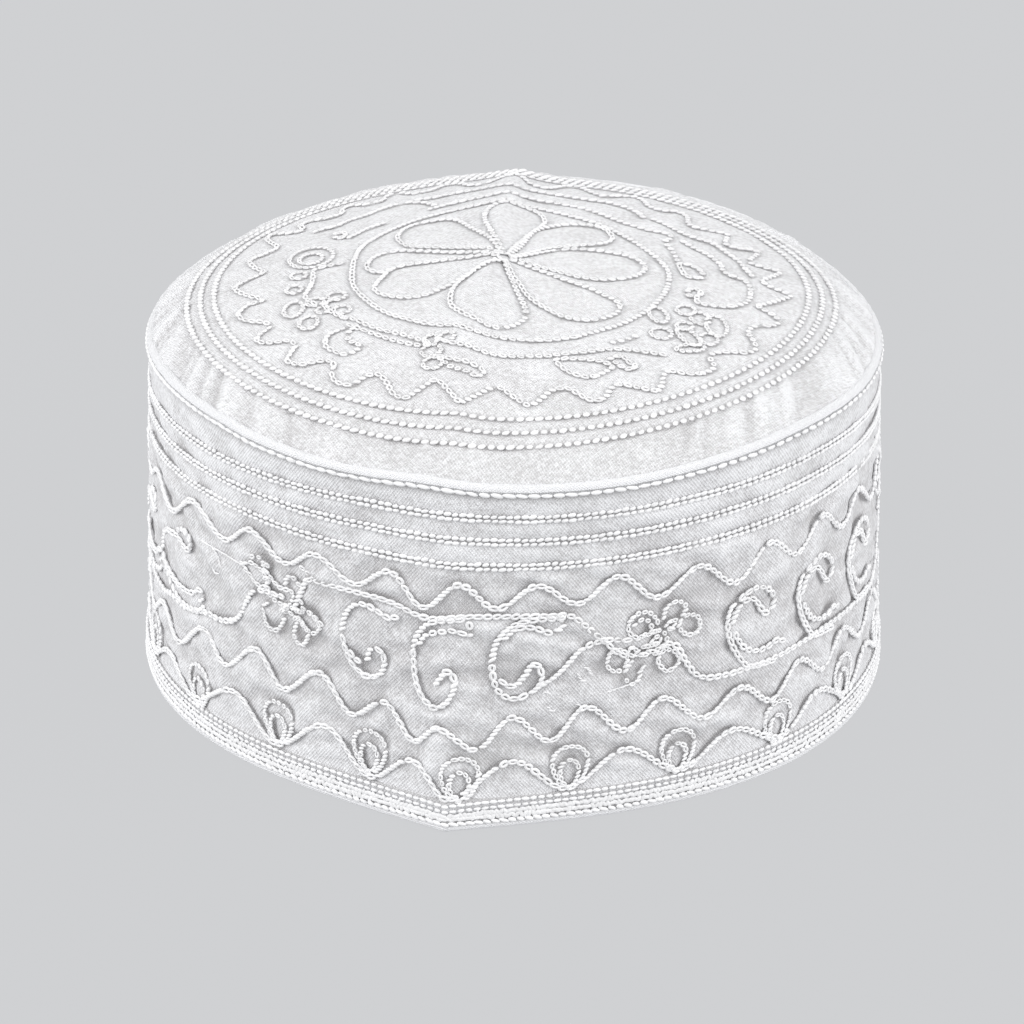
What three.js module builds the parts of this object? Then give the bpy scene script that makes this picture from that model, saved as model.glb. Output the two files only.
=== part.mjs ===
// A soft white cloth prayer cap that stands on its hem: an upright side band, a low domed crown,
// a rolled welt in the seam between them, and a thick turned hem.
// Millimetres, +Z up, +Y to the back. The origin lies under the middle of the cap, on what it stands on.
// The cap keeps the fold it was stored with, a crease that runs over the crown from front to back
// and down the band, where it pulls the hem out to a blunt point.

import * as THREE from 'three';

// driving dimensions
const seamRadius = 93.6;
const footRadius = 93.1;
const seamHeight = 91;
const clothThickness = 2;
const hemThickness = 3;
const hemProud = 0.5;
const hemHeight = 8.6;
const hemEdgeRound = 1.2;
const weltDiameter = 2.4;
const weltSunk = 1;
const weltHeight = 91.3;
const pieceGap = 0.3;

// the crown: a low even dome, whose margin falls away more steeply to the seam
const domeRise = 9.8;
const marginRise = 5.8;
const marginPower = 8;

// how fine the solids are
const weltSides = 8;
const bandRows = 6;
const crownRings = 12;
const stepDegrees = 4;

// how far the plan departs from a circle, as shares of its radius
const planLobes = [
  { lobes: 1, seamCos: -0.004, seamSin: 0.004, footCos: 0, footSin: 0 },
  { lobes: 2, seamCos: -0.025, seamSin: -0.01, footCos: 0.027, footSin: 0.002 },
  { lobes: 3, seamCos: 0, seamSin: -0.015, footCos: -0.006, footSin: -0.016 },
];

// how far the seam departs from its height: it sinks towards the back, and its sides stand highest
const seamLifts = [
  { lobes: 1, cosRise: 0, sinRise: -1.3 },
  { lobes: 2, cosRise: 1.7, sinRise: 0 },
  { lobes: 3, cosRise: 0, sinRise: -0.5 },
];

// the two ends of the crease, and how far it pulls the plan outwards there
const creases = [
  { azimuth: -94.25, seamPull: 0, footPull: 12.5 },
  { azimuth: 94.25, seamPull: 0, footPull: 9.5 },
];
const creaseSpread = 0.35;

// where the soft crown sags over the band at the two sides, and pulls the seam outwards and down;
// the pull dies away down the band
const sideSags = [
  { azimuth: -178, spread: 38, pull: 1.7, sink: 2.8 },
  { azimuth: -8, spread: 30, pull: 1.7, sink: 1.6 },
  { azimuth: 143, spread: 24, pull: 0, sink: 1.3 },
  { azimuth: 30, spread: 24, pull: 0, sink: 1.6 },
];
const sagFoot = 20;
const sagPower = 14;

// the crease on the crown: a soft ridge along Y, with a long slope to the left and a short one to the right
const ridgeX = -7;
const ridgeLeftSlope = 12;
const ridgeRightSlope = 5;
const ridgeTopRound = 1.5;
const ridgeFade = 6;
const ridgeRises = [
  { y: -94, rise: 1.3 },
  { y: -45, rise: 2.3 },
  { y: 0, rise: 3.1 },
  { y: 94, rise: 3.1 },
];

const clothWhite = { color: 0xe9e9eb, roughness: 0.9, metalness: 0 };

function turnBetween(angle, other) {
  return Math.atan2(Math.sin(angle - other), Math.cos(angle - other));
}

function sideSag(azimuth, part) {
  let amount = 0;
  for (const row of sideSags) {
    const away = turnBetween(azimuth, THREE.MathUtils.degToRad(row.azimuth));
    amount += row[part] * Math.exp(-((away / THREE.MathUtils.degToRad(row.spread)) ** 2));
  }
  return amount;
}

// radius of the band's outer face, measured from the middle of the plan
function planRadius(azimuth, height) {
  const up = height / seamHeight;
  let share = 1;
  for (const row of planLobes) {
    const cosine = THREE.MathUtils.lerp(row.footCos, row.seamCos, up);
    const sine = THREE.MathUtils.lerp(row.footSin, row.seamSin, up);
    share += cosine * Math.cos(row.lobes * azimuth) + sine * Math.sin(row.lobes * azimuth);
  }
  let radius = THREE.MathUtils.lerp(footRadius, seamRadius, up) * share;
  for (const row of creases) {
    const pull = THREE.MathUtils.lerp(row.footPull, row.seamPull, up);
    const away = Math.abs(turnBetween(azimuth, THREE.MathUtils.degToRad(row.azimuth)));
    radius += pull * Math.exp(-away / creaseSpread);
  }
  return radius + sideSag(azimuth, 'pull') * Math.max(0, (height - sagFoot) / (seamHeight - sagFoot));
}

// how far the crown's own level is raised or sunk, at a share of the way out to the seam
function lift(azimuth, share) {
  let rise = 0;
  for (const row of seamLifts) {
    const wave = row.cosRise * Math.cos(row.lobes * azimuth) + row.sinRise * Math.sin(row.lobes * azimuth);
    rise += wave * share ** row.lobes;
  }
  return rise - sideSag(azimuth, 'sink') * share ** sagPower;
}

function planPoint(azimuth, height, outset) {
  const radius = planRadius(azimuth, height) + outset;
  const lifted = height * (1 + lift(azimuth, 1) / seamHeight);
  return new THREE.Vector3(radius * Math.cos(azimuth), radius * Math.sin(azimuth), lifted);
}

// azimuths right round, with one on each end of the crease
function azimuthsAround() {
  const azimuths = [];
  for (let i = 0; i < creases.length; i += 1) {
    const from = creases[i].azimuth;
    const to = i + 1 < creases.length ? creases[i + 1].azimuth : creases[0].azimuth + 360;
    const steps = Math.round((to - from) / stepDegrees);
    for (let k = 0; k < steps; k += 1) {
      azimuths.push(THREE.MathUtils.degToRad(from + ((to - from) * k) / steps));
    }
  }
  return azimuths;
}

const azimuths = azimuthsAround();

function ridgeRise(y) {
  for (let i = 1; i < ridgeRises.length; i += 1) {
    const low = ridgeRises[i - 1];
    const high = ridgeRises[i];
    if (y <= high.y) {
      return THREE.MathUtils.lerp(low.rise, high.rise, Math.max(0, (y - low.y) / (high.y - low.y)));
    }
  }
  return ridgeRises[ridgeRises.length - 1].rise;
}

// height of the crown's upper face
function crownHeight(x, y) {
  const azimuth = Math.atan2(y, x);
  const share = Math.min(1, Math.hypot(x, y) / planRadius(azimuth, seamHeight));
  const dome = domeRise * (1 - share ** 2) + marginRise * (1 - share ** marginPower);
  const across = x - ridgeX;
  const slope = across < 0 ? ridgeLeftSlope : ridgeRightSlope;
  const away = Math.hypot(across, ridgeTopRound) - ridgeTopRound;
  const ridge = ridgeRise(y) * Math.exp(-away / slope) * (1 - share ** ridgeFade);
  return seamHeight + lift(azimuth, share) + dome + ridge;
}

// the box of the hem's outline says how far the middle of the plan lies from the middle of the cap
function planMiddle() {
  const box = new THREE.Box3();
  for (const azimuth of azimuths) {
    box.expandByPoint(planPoint(azimuth, 0, hemProud));
    box.expandByPoint(planPoint(azimuth, hemHeight, hemProud));
  }
  return box.getCenter(new THREE.Vector3());
}

const middle = planMiddle();

function geometryOf(points, faces) {
  const numbers = [];
  for (const point of points) {
    numbers.push(point.x - middle.x, point.y - middle.y, point.z);
  }
  const geometry = new THREE.BufferGeometry();
  geometry.setAttribute('position', new THREE.Float32BufferAttribute(numbers, 3));
  geometry.setIndex(faces);
  geometry.computeVertexNormals();
  return geometry;
}

// a closed section carried right round the plan; the section runs anticlockwise seen with outwards to the right
function ringGeometry(section) {
  const points = [];
  const faces = [];
  const sides = section.length;
  for (const azimuth of azimuths) {
    for (const corner of section) {
      points.push(planPoint(azimuth, corner.height, corner.outset));
    }
  }
  for (let i = 0; i < azimuths.length; i += 1) {
    const next = (i + 1) % azimuths.length;
    for (let k = 0; k < sides; k += 1) {
      const a = i * sides + k;
      const b = i * sides + ((k + 1) % sides);
      const c = next * sides + ((k + 1) % sides);
      const d = next * sides + k;
      faces.push(a, c, b, a, d, c);
    }
  }
  return geometryOf(points, faces);
}

function sideBand() {
  const low = hemHeight + pieceGap;
  const high = weltHeight - weltDiameter / 2 - pieceGap;
  const section = [];
  for (let k = 0; k <= bandRows; k += 1) {
    section.push({ outset: 0, height: THREE.MathUtils.lerp(low, high, k / bandRows) });
  }
  for (let k = bandRows; k >= 0; k -= 1) {
    section.push({ outset: -clothThickness, height: THREE.MathUtils.lerp(low, high, k / bandRows) });
  }
  return ringGeometry(section);
}

function hemRoll() {
  const outer = hemProud;
  const inner = hemProud - hemThickness;
  const round = hemEdgeRound;
  return ringGeometry([
    { outset: inner, height: hemHeight },
    { outset: inner, height: round },
    { outset: inner + round * 0.3, height: round * 0.3 },
    { outset: inner + round * 0.9, height: 0 },
    { outset: outer - round * 0.9, height: 0 },
    { outset: outer - round * 0.3, height: round * 0.3 },
    { outset: outer, height: round },
    { outset: outer, height: hemHeight },
  ]);
}

function crownWelt() {
  const section = [];
  for (let k = 0; k < weltSides; k += 1) {
    const turn = (2 * Math.PI * (k + 0.5)) / weltSides;
    section.push({
      outset: -weltSunk + (weltDiameter / 2) * Math.cos(turn),
      height: weltHeight + (weltDiameter / 2) * Math.sin(turn),
    });
  }
  return ringGeometry(section);
}

// spokes run from a point on the crease to the seam, so that two of them lie along the crease
function crownPanel() {
  const pole = new THREE.Vector3(ridgeX, 0, 0);
  const edgeOutset = -weltSunk - weltDiameter / 2 - pieceGap;
  const count = azimuths.length;
  const points = [];
  const faces = [];
  for (const drop of [0, clothThickness]) {
    points.push(new THREE.Vector3(pole.x, pole.y, crownHeight(pole.x, pole.y) - drop));
    for (let ring = 1; ring <= crownRings; ring += 1) {
      for (const azimuth of azimuths) {
        const edge = planPoint(azimuth, seamHeight, edgeOutset);
        const x = THREE.MathUtils.lerp(pole.x, edge.x, ring / crownRings);
        const y = THREE.MathUtils.lerp(pole.y, edge.y, ring / crownRings);
        points.push(new THREE.Vector3(x, y, crownHeight(x, y) - drop));
      }
    }
  }
  const underside = 1 + crownRings * count;
  for (let i = 0; i < count; i += 1) {
    const next = (i + 1) % count;
    faces.push(0, 1 + i, 1 + next);
    faces.push(underside, underside + 1 + next, underside + 1 + i);
    for (let ring = 0; ring + 1 < crownRings; ring += 1) {
      const a = 1 + ring * count + i;
      const b = 1 + ring * count + next;
      const c = a + count;
      const d = b + count;
      faces.push(a, c, d, a, d, b);
      faces.push(underside + a, underside + d, underside + c, underside + a, underside + b, underside + d);
    }
    const rim = 1 + (crownRings - 1) * count;
    const above = rim + i;
    const aboveNext = rim + next;
    faces.push(above, underside + above, underside + aboveNext, above, underside + aboveNext, aboveNext);
  }
  return geometryOf(points, faces);
}

function addPiece(group, name, geometry) {
  const mesh = new THREE.Mesh(geometry, new THREE.MeshStandardMaterial(clothWhite));
  mesh.name = name;
  group.add(mesh);
}

const cap = new THREE.Group();
addPiece(cap, 'crown_panel', crownPanel());
addPiece(cap, 'crown_welt', crownWelt());
addPiece(cap, 'side_band', sideBand());
addPiece(cap, 'hem_roll', hemRoll());

export default cap;
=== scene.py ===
import math

import bpy
import numpy as np
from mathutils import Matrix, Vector, noise
from mathutils.kdtree import KDTree


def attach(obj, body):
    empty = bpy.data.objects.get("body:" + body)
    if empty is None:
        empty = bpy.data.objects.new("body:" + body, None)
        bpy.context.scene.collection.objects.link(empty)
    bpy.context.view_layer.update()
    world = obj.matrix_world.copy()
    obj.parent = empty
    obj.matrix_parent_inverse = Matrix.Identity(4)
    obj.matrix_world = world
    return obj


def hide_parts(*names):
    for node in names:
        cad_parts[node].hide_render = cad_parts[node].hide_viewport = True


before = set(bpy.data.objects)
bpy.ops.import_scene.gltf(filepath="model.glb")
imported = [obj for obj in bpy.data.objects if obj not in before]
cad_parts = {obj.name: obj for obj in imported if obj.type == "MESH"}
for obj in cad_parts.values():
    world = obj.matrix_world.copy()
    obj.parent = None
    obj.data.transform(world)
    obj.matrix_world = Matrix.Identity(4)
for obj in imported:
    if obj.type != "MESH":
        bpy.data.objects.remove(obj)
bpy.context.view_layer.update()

mm = 0.001

# the cap's own form, in millimetres and degrees, as its solids have it
form = {
    "seamRadius": 93.6, "footRadius": 93.1, "seamHeight": 91.0,
    "domeRise": 9.8, "marginRise": 5.8, "marginPower": 8,
    "ridgeX": -7.0, "ridgeLeft": 12.0, "ridgeRight": 5.0, "ridgeRound": 1.5, "ridgeFade": 6,
    "ridgeY": [-94, -45, 0, 94], "ridgeRise": [1.3, 2.3, 3.1, 3.1],
    "frontCrease": -94.25, "backCrease": 94.25, "creaseSpread": 0.35,
    "middleX": -0.6235, "middleY": -0.0742, "sagFoot": 20.0, "sagPower": 14,
}
# lobes round the plan: count, cosine and sine share at the seam, cosine and sine share at the foot
planLobes = [(1, -0.004, 0.004, 0, 0), (2, -0.025, -0.01, 0.027, 0.002), (3, 0, -0.015, -0.006, -0.016)]
# lobes of the seam's level: count, cosine rise, sine rise
seamLifts = [(1, 0, -1.3), (2, 1.7, 0), (3, 0, -0.5)]
creases = [(form["frontCrease"], 12.5), (form["backCrease"], 9.5)]  # azimuth, pull at the foot
# where the soft crown sags over the band: azimuth, spread in degrees, pull outwards, sink
sideSags = [(-178, 38, 1.7, 2.8), (-8, 30, 1.7, 1.6), (143, 24, 0, 1.3), (30, 24, 0, 1.6)]
# how far the welt's line departs from level, by azimuth in degrees; the back isn't seen
weltRises = [
    (-180, 0.0), (-160, 0.4), (-147, 0.9), (-133, 0.9), (-128, 0.3), (-115, 0.1), (-110, 0.3), (-103, 0.9),
    (-99, 1.2), (-95, 0.9), (-90, 0.3), (-80, 0.1), (-66, 0.1), (-57, 0.5), (-48, 0.7), (-39, 1.0),
    (-30, 0.6), (-18, 0.0), (180, 0.0),
]
azimuthStep, lengthStep = 0.01, 0.5  # for the slopes of the two surfaces


def turnBetween(azimuth, degrees):
    return (azimuth - math.radians(degrees) + math.pi) % (2 * math.pi) - math.pi


def sideSag(azimuth, part):
    return sum(row[part] * np.exp(-(turnBetween(azimuth, row[0]) / math.radians(row[1])) ** 2)
               for row in sideSags)


def planRadius(azimuth, height):
    up = height / form["seamHeight"]
    share = 1.0
    for count, seamCos, seamSin, footCos, footSin in planLobes:
        share = share + (footCos + (seamCos - footCos) * up) * np.cos(count * azimuth)
        share = share + (footSin + (seamSin - footSin) * up) * np.sin(count * azimuth)
    radius = (form["footRadius"] + (form["seamRadius"] - form["footRadius"]) * up) * share
    for at, pull in creases:
        away = np.abs(turnBetween(azimuth, at))
        radius = radius + pull * (1 - up) * np.exp(-away / form["creaseSpread"])
    sagging = np.maximum(0, (height - form["sagFoot"]) / (form["seamHeight"] - form["sagFoot"]))
    return radius + sideSag(azimuth, 2) * sagging


def lift(azimuth, share):
    rise = -sideSag(azimuth, 3) * share ** form["sagPower"]
    for count, cosRise, sinRise in seamLifts:
        wave = cosRise * np.cos(count * azimuth) + sinRise * np.sin(count * azimuth)
        rise = rise + wave * share ** count
    return rise


def weltRise(azimuth):
    wrapped = (np.degrees(azimuth) + 180) % 360 - 180
    return np.interp(wrapped, *zip(*weltRises))


def wallPoint(azimuth, height, outset=0.0):
    radius = planRadius(azimuth, height) + outset
    lifted = height * (1 + lift(azimuth, 1.0) / form["seamHeight"])
    return np.stack(np.broadcast_arrays(
        radius * np.cos(azimuth) - form["middleX"], radius * np.sin(azimuth) - form["middleY"], lifted), -1)


def crownHeight(x, y):
    azimuth = np.arctan2(y, x)
    share = np.minimum(1.0, np.hypot(x, y) / planRadius(azimuth, form["seamHeight"]))
    dome = form["domeRise"] * (1 - share ** 2) + form["marginRise"] * (1 - share ** form["marginPower"])
    across = x - form["ridgeX"]
    slope = np.where(across < 0, form["ridgeLeft"], form["ridgeRight"])
    away = np.hypot(across, form["ridgeRound"]) - form["ridgeRound"]
    rise = np.interp(y, form["ridgeY"], form["ridgeRise"])
    ridge = rise * np.exp(-away / slope) * (1 - share ** form["ridgeFade"])
    return form["seamHeight"] + lift(azimuth, share) + dome + ridge


def crownPoint(x, y):
    return np.stack([x - form["middleX"], y - form["middleY"], crownHeight(x, y)], -1)


def unit(vectors):
    return vectors / np.maximum(np.linalg.norm(vectors, axis=-1, keepdims=True), 1e-9)


def wallNormal(azimuth, height):
    along = wallPoint(azimuth + azimuthStep, height) - wallPoint(azimuth - azimuthStep, height)
    rise = wallPoint(azimuth, height + lengthStep) - wallPoint(azimuth, height - lengthStep)
    return unit(np.cross(along, rise))


def crownNormal(x, y):
    alongX = crownPoint(x + lengthStep, y) - crownPoint(x - lengthStep, y)
    alongY = crownPoint(x, y + lengthStep) - crownPoint(x, y - lengthStep)
    return unit(np.cross(alongX, alongY))


# the band is charted by arc from the front crease, in millimetres at mid height, and by height
arcCount, midHeight = 2881, 45.0
arcAzimuths = math.radians(form["frontCrease"]) + np.linspace(-math.pi, math.pi, arcCount)
arcSteps = np.linalg.norm(np.diff(wallPoint(arcAzimuths, midHeight)[:, :2], axis=0), axis=1)
arcLengths = np.concatenate([[0], np.cumsum(arcSteps)])
girth = float(arcLengths[-1])
arcLengths = arcLengths - arcLengths[arcCount // 2]


def azimuthAt(arc):
    wrapped = (np.asarray(arc, float) - arcLengths[0]) % girth + arcLengths[0]
    return np.interp(wrapped, arcLengths, arcAzimuths)


# charts of the embroidery on the band: arc from the front crease, height
upperWaveSeen = [
    (-104, 62.8), (-92.5, 57.3), (-79, 65.3), (-66, 60.4), (-56, 66.7), (-44.6, 61.7), (-35.5, 66.9),
    (-24.6, 61.9), (-15, 67.5), (-6.3, 59.7), (3, 66.7), (12, 60.5), (22, 66.3), (31.7, 60.8), (41.5, 66.9),
    (51.7, 59.4), (62.5, 65.3), (73.3, 57.8), (83.3, 65.3), (93.3, 58.8), (103, 65.3), (113.3, 58.2),
    (122, 64.2), (134.6, 56.5)
]
middleWaveSeen = [
    (-99.6, 27.3), (-89.6, 21.3), (-74.6, 31.5), (-67, 25), (-54.6, 34), (-46.3, 26.1), (-34.6, 34.4),
    (-25.4, 25.7), (-16.3, 31.5), (-8.3, 22.9), (-2, 27.8), (7, 22.2), (15.8, 30.5), (25, 23.3),
    (33.8, 31.7), (44.2, 23.6), (53.3, 30.8), (65, 22.5), (75.4, 27.8), (85.8, 20.8), (95.4, 28.2),
    (105.4, 21.7), (114.6, 28.6), (126.7, 21.3), (137.5, 28.2)
]
lowerWaveSeen = [
    (-94.6, 15.3), (-81.7, 9.2), (-63, 18.6), (-49.2, 9.6), (-33, 19.8), (-20.4, 9.6), (-8.8, 17.3),
    (0.4, 9.0), (15.8, 18.2), (29.2, 9.4), (43.8, 18.2), (58.8, 9.4), (73, 16.5), (89.6, 9.2), (103, 16.1),
    (118.3, 9.2), (131, 15.7)
]
loopsSeen = [
    (-78.3, 14.4), (-47.9, 16.5), (-20.4, 17.3), (3.3, 14.8), (30, 16), (57.9, 15.7), (87.9, 14.4),
    (115.8, 15.3)
]
# arc, then the three double rows under the welt
rowHeights = [
    (-130, 80.4, 74.4, 68.2), (-100, 81.3, 75.3, 69.0), (-60, 82.8, 77.0, 71.0), (-20, 84.8, 78.5, 71.8),
    (20, 84.2, 78.1, 71.5), (60, 84.2, 78.1, 71.5), (100, 83.6, 77.6, 70.9), (120, 82.7, 76.7, 70.6),
    (140, 81.4, 75.6, 69.8)
]
topVine = [
    (-42, 50), (-39, 57), (-37.5, 59.5), (-30, 59.8), (-20, 59.8), (-14, 59.3), (-10, 58), (-5, 57),
    (0, 57.8), (5, 58.3), (15, 58.3), (25, 58), (30, 57.5), (35, 53), (38, 50), (41, 46.5), (43, 45)
]
topHooks = [
    [(-13.5, 55.5), (-15.5, 55), (-19, 56.5), (-22.5, 57), (-25, 55.8), (-27, 53), (-27.8, 49), (-27.5, 45),
     (-26, 41), (-23.5, 38.5), (-20.5, 37.5), (-17.5, 39), (-16.3, 42), (-17, 44.8), (-19, 46),
     (-20.5, 44.5), (-21, 42), (-23, 41), (-25.5, 42.5)],
    [(3, 57.5), (-2, 56.8), (-6, 54.5), (-8.3, 50), (-8.5, 45), (-8, 40), (-6.5, 36), (-3.5, 33.3),
     (-1, 34.2), (1.5, 38), (1.8, 41.5), (0.3, 43.5), (-1, 42.5), (-2.5, 40)],
    [(5.5, 56), (6, 54), (5, 53.3), (2, 54.5), (-2, 53.8), (-5.5, 52.3), (-7, 50)],
    [(27.5, 57.3), (20, 57), (15.5, 55.5), (12.3, 52), (11, 47), (11.2, 42), (12.5, 38), (15.5, 35.8),
     (19, 36.5), (22, 38.5), (23, 41.5), (22, 44.5), (20.3, 44.5), (18.5, 41.5), (16, 39.2), (13.5, 40.5)],
    [(27.5, 57.3), (28.5, 56), (27.5, 54.5), (25, 53.3), (21, 55), (17, 55), (14, 52.5)],
    [(22, 38.5), (26, 41), (29, 44), (32, 47.5), (35, 49.2), (39, 49.8), (44, 49)],
]
bottomVine = [
    (54.8, 45.9), (56.7, 44.9), (57.9, 42.8), (59.5, 39.6), (61.2, 36.8), (63.2, 34.7), (66, 33.5),
    (69.3, 33), (75, 32.7), (85, 32.5), (95, 33), (105, 33.3), (115, 32.8), (122, 32.5), (133, 31),
    (140, 32.5), (145, 38), (148, 44)
]
bottomHook = [
    (85, 32), (78, 33), (74.5, 37), (72, 42), (71, 47), (72, 51), (75, 53), (79, 54.3), (82.5, 53.3),
    (85, 50.5), (85, 47.5), (83.3, 46), (81.5, 47.5), (80, 50), (77.5, 52), (74, 50.5), (72.5, 47)
]
bottomLeaf = [(73.5, 43), (76, 39), (79, 37), (83, 36.3), (86.5, 37.3), (88.5, 36.5)]
leftVine = [
    (-46, 52), (-52, 51.5), (-55.5, 50), (-58, 46), (-60, 42), (-63, 39), (-68, 37), (-74, 36.5),
    (-80, 34.5), (-86, 33), (-93, 33), (-98, 31.5), (-105, 31.5), (-118, 32.5), (-135, 33)
]
leftHook = [
    (-75.5, 37.5), (-78, 35.5), (-84, 33.8), (-90, 34.5), (-95, 37.5), (-99, 41), (-99.5, 44), (-98, 48),
    (-96, 50), (-92, 51), (-88, 51.5), (-84, 50), (-81.5, 51.5), (-82, 54), (-85, 54.8), (-88, 53.5)
]
leftLeaf = [(-97, 40), (-92, 38.5), (-86, 38), (-81, 39), (-77, 41.5), (-75.5, 40), (-77, 38.5)]
# threads of the flower clusters on the band: arc, height
leftFlower = [
    [(-58.9, 56.3), (-56.1, 57.7), (-52.9, 57.2), (-51, 55.7), (-50.3, 54.8)],
    [(-51.6, 58.6), (-50.6, 59.2), (-50, 58.4), (-50.6, 57.2), (-51.6, 57.5), (-51.6, 58.6)],
    [(-50.6, 57.2), (-48.4, 55.4), (-46.8, 54.6), (-45, 54.2), (-43.6, 54.7), (-42.2, 53.8), (-43, 51.3),
     (-44.4, 50)],
    [(-58.9, 56.3), (-57.9, 55.1), (-56.4, 54.3), (-55.1, 53.1), (-53.5, 52.6), (-51.8, 52.6),
     (-50.5, 54.2), (-50.2, 55.4)],
    [(-50.3, 52.8), (-49.7, 51.2), (-48.1, 50.2), (-46.2, 49.9), (-44.6, 49.8)],
    [(-44.5, 56.2), (-44.1, 57.8), (-43.1, 58.6), (-42, 58.4), (-41.1, 57.9), (-40.3, 57.2)],
    [(-44.6, 49.8), (-42.6, 50.1), (-40.4, 49.6)],
    [(-44.4, 49.6), (-42.8, 48.1), (-41.4, 47.3)],
    [(-50.7, 48.5), (-52.2, 46.9), (-51.7, 44.9), (-51.2, 42.6), (-49.7, 41.7), (-48, 41.9), (-46.2, 43.9),
     (-45.1, 46.5), (-45.4, 48), (-44.9, 49.5)],
    [(-39.9, 52.6), (-39.5, 51.1), (-37.8, 50.5), (-35.7, 49.5), (-34.1, 48.3)],
    [(-40.5, 47.6), (-39.2, 46.1), (-38, 45.2), (-36.2, 45), (-34.7, 46.3), (-34.7, 47.9), (-35.7, 49.1),
     (-37.4, 50.2)],
    [(-40.9, 47.3), (-41.8, 44.8), (-42.1, 42.7), (-41.3, 41), (-40, 40.4), (-38.6, 41.9), (-37.9, 44.1),
     (-38.4, 45.5), (-39.6, 46.7)],
    [(-39.3, 62), (-37.2, 60.9), (-36, 60.1)],
    [(-55.5, 59.6), (-53.5, 60.2), (-51.8, 60.2), (-51.4, 59.3)],
]
rightFlower = [
    [(44.2, 52), (44.9, 54.5), (46.8, 55.8), (49.4, 55.6), (51.3, 53.4), (52, 50.8), (50.6, 49.9),
     (47.7, 49.3), (45.5, 49.7), (44.2, 52)],
    [(45.8, 52.9), (47.6, 54), (49.4, 53.2), (50.1, 51.7)],
    [(53.3, 53.4), (53.8, 55.7), (55.3, 56.9), (57.2, 57), (58.9, 55.6), (58.8, 53.7), (57.7, 52.4),
     (56.2, 52)],
    [(57.4, 50.5), (58.3, 52.2), (60.2, 52.6), (62.4, 51.4), (63.1, 49), (62.3, 47.2), (60.3, 47),
     (58.2, 48.3), (57.4, 50.5)],
    [(54, 51.1), (55, 52), (56.1, 50.6), (55.1, 49.8), (54, 51.1)],
    [(46.8, 48.7), (49.1, 49.9), (51.7, 50.2), (53.6, 49), (54.2, 46.9), (53.3, 45.4), (51.8, 45)],
    [(50.3, 47.6), (51.7, 48.5), (52.6, 47.2), (51.3, 46.6), (50.3, 47.6)],
    [(52.1, 41.3), (52.6, 43.6), (54.6, 44.2), (57.1, 42.6), (57.5, 40.1), (55.7, 38.5), (53.8, 38.6),
     (52.1, 41.3)],
    [(39.1, 43.7), (39.8, 46), (41.5, 46.7), (43.5, 45.6), (44, 43.3), (43.4, 41.2), (41.4, 40.7),
     (39.6, 41.6), (39.1, 43.7)],
    [(44.3, 45.7), (45.3, 46.7), (46.6, 45.2), (45.5, 44.2), (44.3, 45.7)],
    [(45, 42.7), (43.7, 40.6), (43.8, 38.1), (45.5, 36.4), (47.1, 37.5), (47.5, 39.9), (48.1, 40.6)],
]
# knots of thread at the hearts of the flowers
flowerKnots = [
    (48.8, 46.3), (50.7, 46.4), (50, 44.6), (51.8, 43.8), (53.7, 45.4), (48.1, 44.1), (-44.6, 49.8),
    (-50.4, 55.3), (-40.6, 49.7), (-45.2, 48.2), (-41.2, 47.4)
]
strayThreads = [
    [(-75, 56), (-66, 56.3), (-58, 55.8)],
    [(-70, 49.6), (-72, 52.5), (-70.5, 55.8), (-68, 53.5), (-68, 50.5), (-70, 49.6)],
    [(32, 41), (33.5, 43), (35, 41), (33.5, 39), (32, 41)],
    [(34, 35), (39, 35.3), (45, 36.5)],
    [(24, 37), (28, 35), (33, 32)],
    [(24.5, 32.8), (26, 31.2), (27, 33)],
]

# charts of the embroidery on the crown: millimetres from the middle, +x right, +y back
ringMiddle = (-1.4, -0.4)
# the rings that draw in towards the back, and spread apart at the front
edgeRings = {"radii": [75.6, 79.1, 82.5], "backDraw": 5.0, "frontSpread": 0.3, "points": 720}
innerRing = [
    (-42, 3.6), (-41.5, -5), (-39.9, -13.9), (-35.5, -22), (-29.9, -28.9), (-23, -33.4), (-16.75, -36.4),
    (-12.5, -37.3), (-10.3, -38.2), (-7.4, -40.4), (-3, -41), (5.1, -40.75), (11.4, -39.8), (17.6, -37.6),
    (23.9, -33.25), (30, -27.8), (35, -20), (38.4, -9), (38.6, 1.75), (36.2, 9.25), (32.2, 16.1),
    (27, 23.6), (20.75, 30.5), (14.5, 35.5), (7, 39.25), (0.75, 41), (-4.25, 41), (-10.5, 40), (-16.75, 38),
    (-23, 34.9), (-29.25, 30.5), (-35.5, 23), (-39.25, 16.75), (-41.4, 11)
]
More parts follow.
